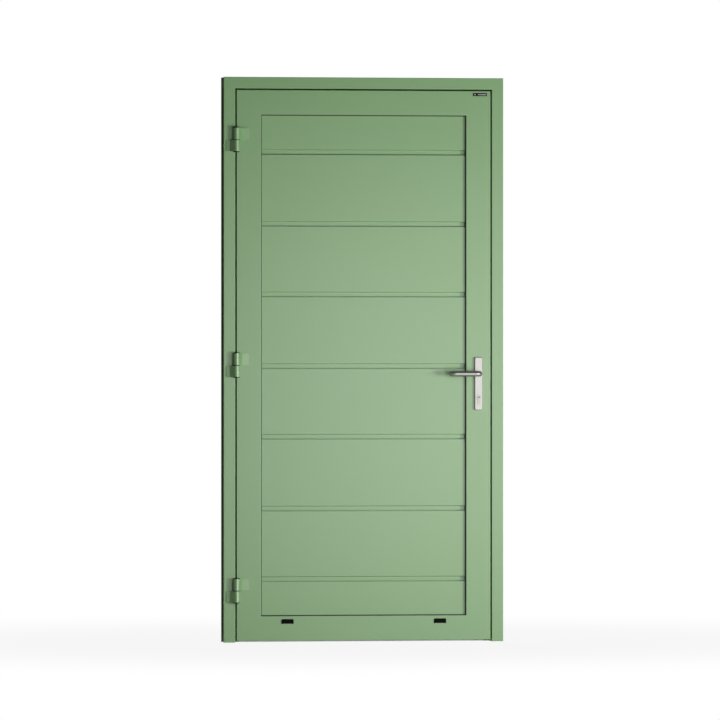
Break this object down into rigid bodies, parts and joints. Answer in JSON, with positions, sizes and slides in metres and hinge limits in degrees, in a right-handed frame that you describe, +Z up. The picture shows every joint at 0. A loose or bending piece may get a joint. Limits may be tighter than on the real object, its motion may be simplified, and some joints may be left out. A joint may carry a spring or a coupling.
{
  "type": "utility door",
  "caption": "Outward-opening utility door: flush leaf of mitred metal profiles round a ribbed infill, on knuckle hinges in its frame, with lever handles and a profile cylinder.",
  "frame": {"origin": "on the floor, in the middle of the threshold's underside", "axes": "+Z up, +X to the right seen from outside, +Y into the building"},
  "size_m": [1, 0.169, 2],
  "materials": {
    "profile_paint": "satin powder coat, pale green",
    "infill_paint": "satin coil coat, pale green",
    "seal_rubber": "matt black",
    "black_plastic": "matt black",
    "handle_satin": "satin stainless",
    "cylinder_nickel": "satin nickel",
    "steel": "bright zinc",
    "threshold_aluminium": "mill anodised"
  },
  "bodies": {
    "frame": {"hinge_jamb": "profile_paint", "lock_jamb": "profile_paint", "frame_head": "profile_paint", "threshold": "threshold_aluminium", "hinge_side_seal": "seal_rubber", "lock_side_seal": "seal_rubber", "head_seal": "seal_rubber", "sill_seal": "seal_rubber", "strike_plate": "steel", "bottom_hinge_frame_half": "profile_paint", "middle_hinge_frame_half": "profile_paint", "top_hinge_frame_half": "profile_paint", "bottom_hinge_pin": "steel", "middle_hinge_pin": "steel", "top_hinge_pin": "steel", "hinge_bushes": "black_plastic", "hinge_lower_caps": "black_plastic"},
    "leaf": {"hinge_stile": "profile_paint", "lock_stile": "profile_paint", "top_rail": "profile_paint", "bottom_rail": "profile_paint", "panel_section_1": "infill_paint", "panel_section_2": "infill_paint", "panel_section_3": "infill_paint", "panel_section_4": "infill_paint", "panel_gasket": "seal_rubber", "top_bead": "profile_paint", "bottom_bead": "profile_paint", "hinge_side_bead": "profile_paint", "lock_side_bead": "profile_paint", "bottom_hinge_leaf_half": "profile_paint", "middle_hinge_leaf_half": "profile_paint", "top_hinge_leaf_half": "profile_paint", "hinge_upper_caps": "black_plastic", "outer_handle_plate": "handle_satin", "inner_handle_plate": "handle_satin", "lock_cylinder": "cylinder_nickel", "mortice_lock": "steel", "left_drain_cap": "black_plastic", "right_drain_cap": "black_plastic"},
    "lever": {"outer_lever": "handle_satin", "inner_lever": "handle_satin", "lever_spindle": "steel"}
  },
  "joints": [
    {"name": "leaf_swing", "type": "hinge", "parent": "frame", "child": "leaf", "pos_m": [-0.4565, -0.097, 0.98], "axis": [0, 0, -1], "range_deg": [0, 110]},
    {"name": "lever_turn", "type": "hinge", "parent": "leaf", "child": "lever", "pos_m": [0.4105, -0.084, 0.95], "axis": [0, -1, 0], "range_deg": [0, 45], "stiffness_Nm_per_rad": 2, "springref_deg": -22.92}
  ]
}
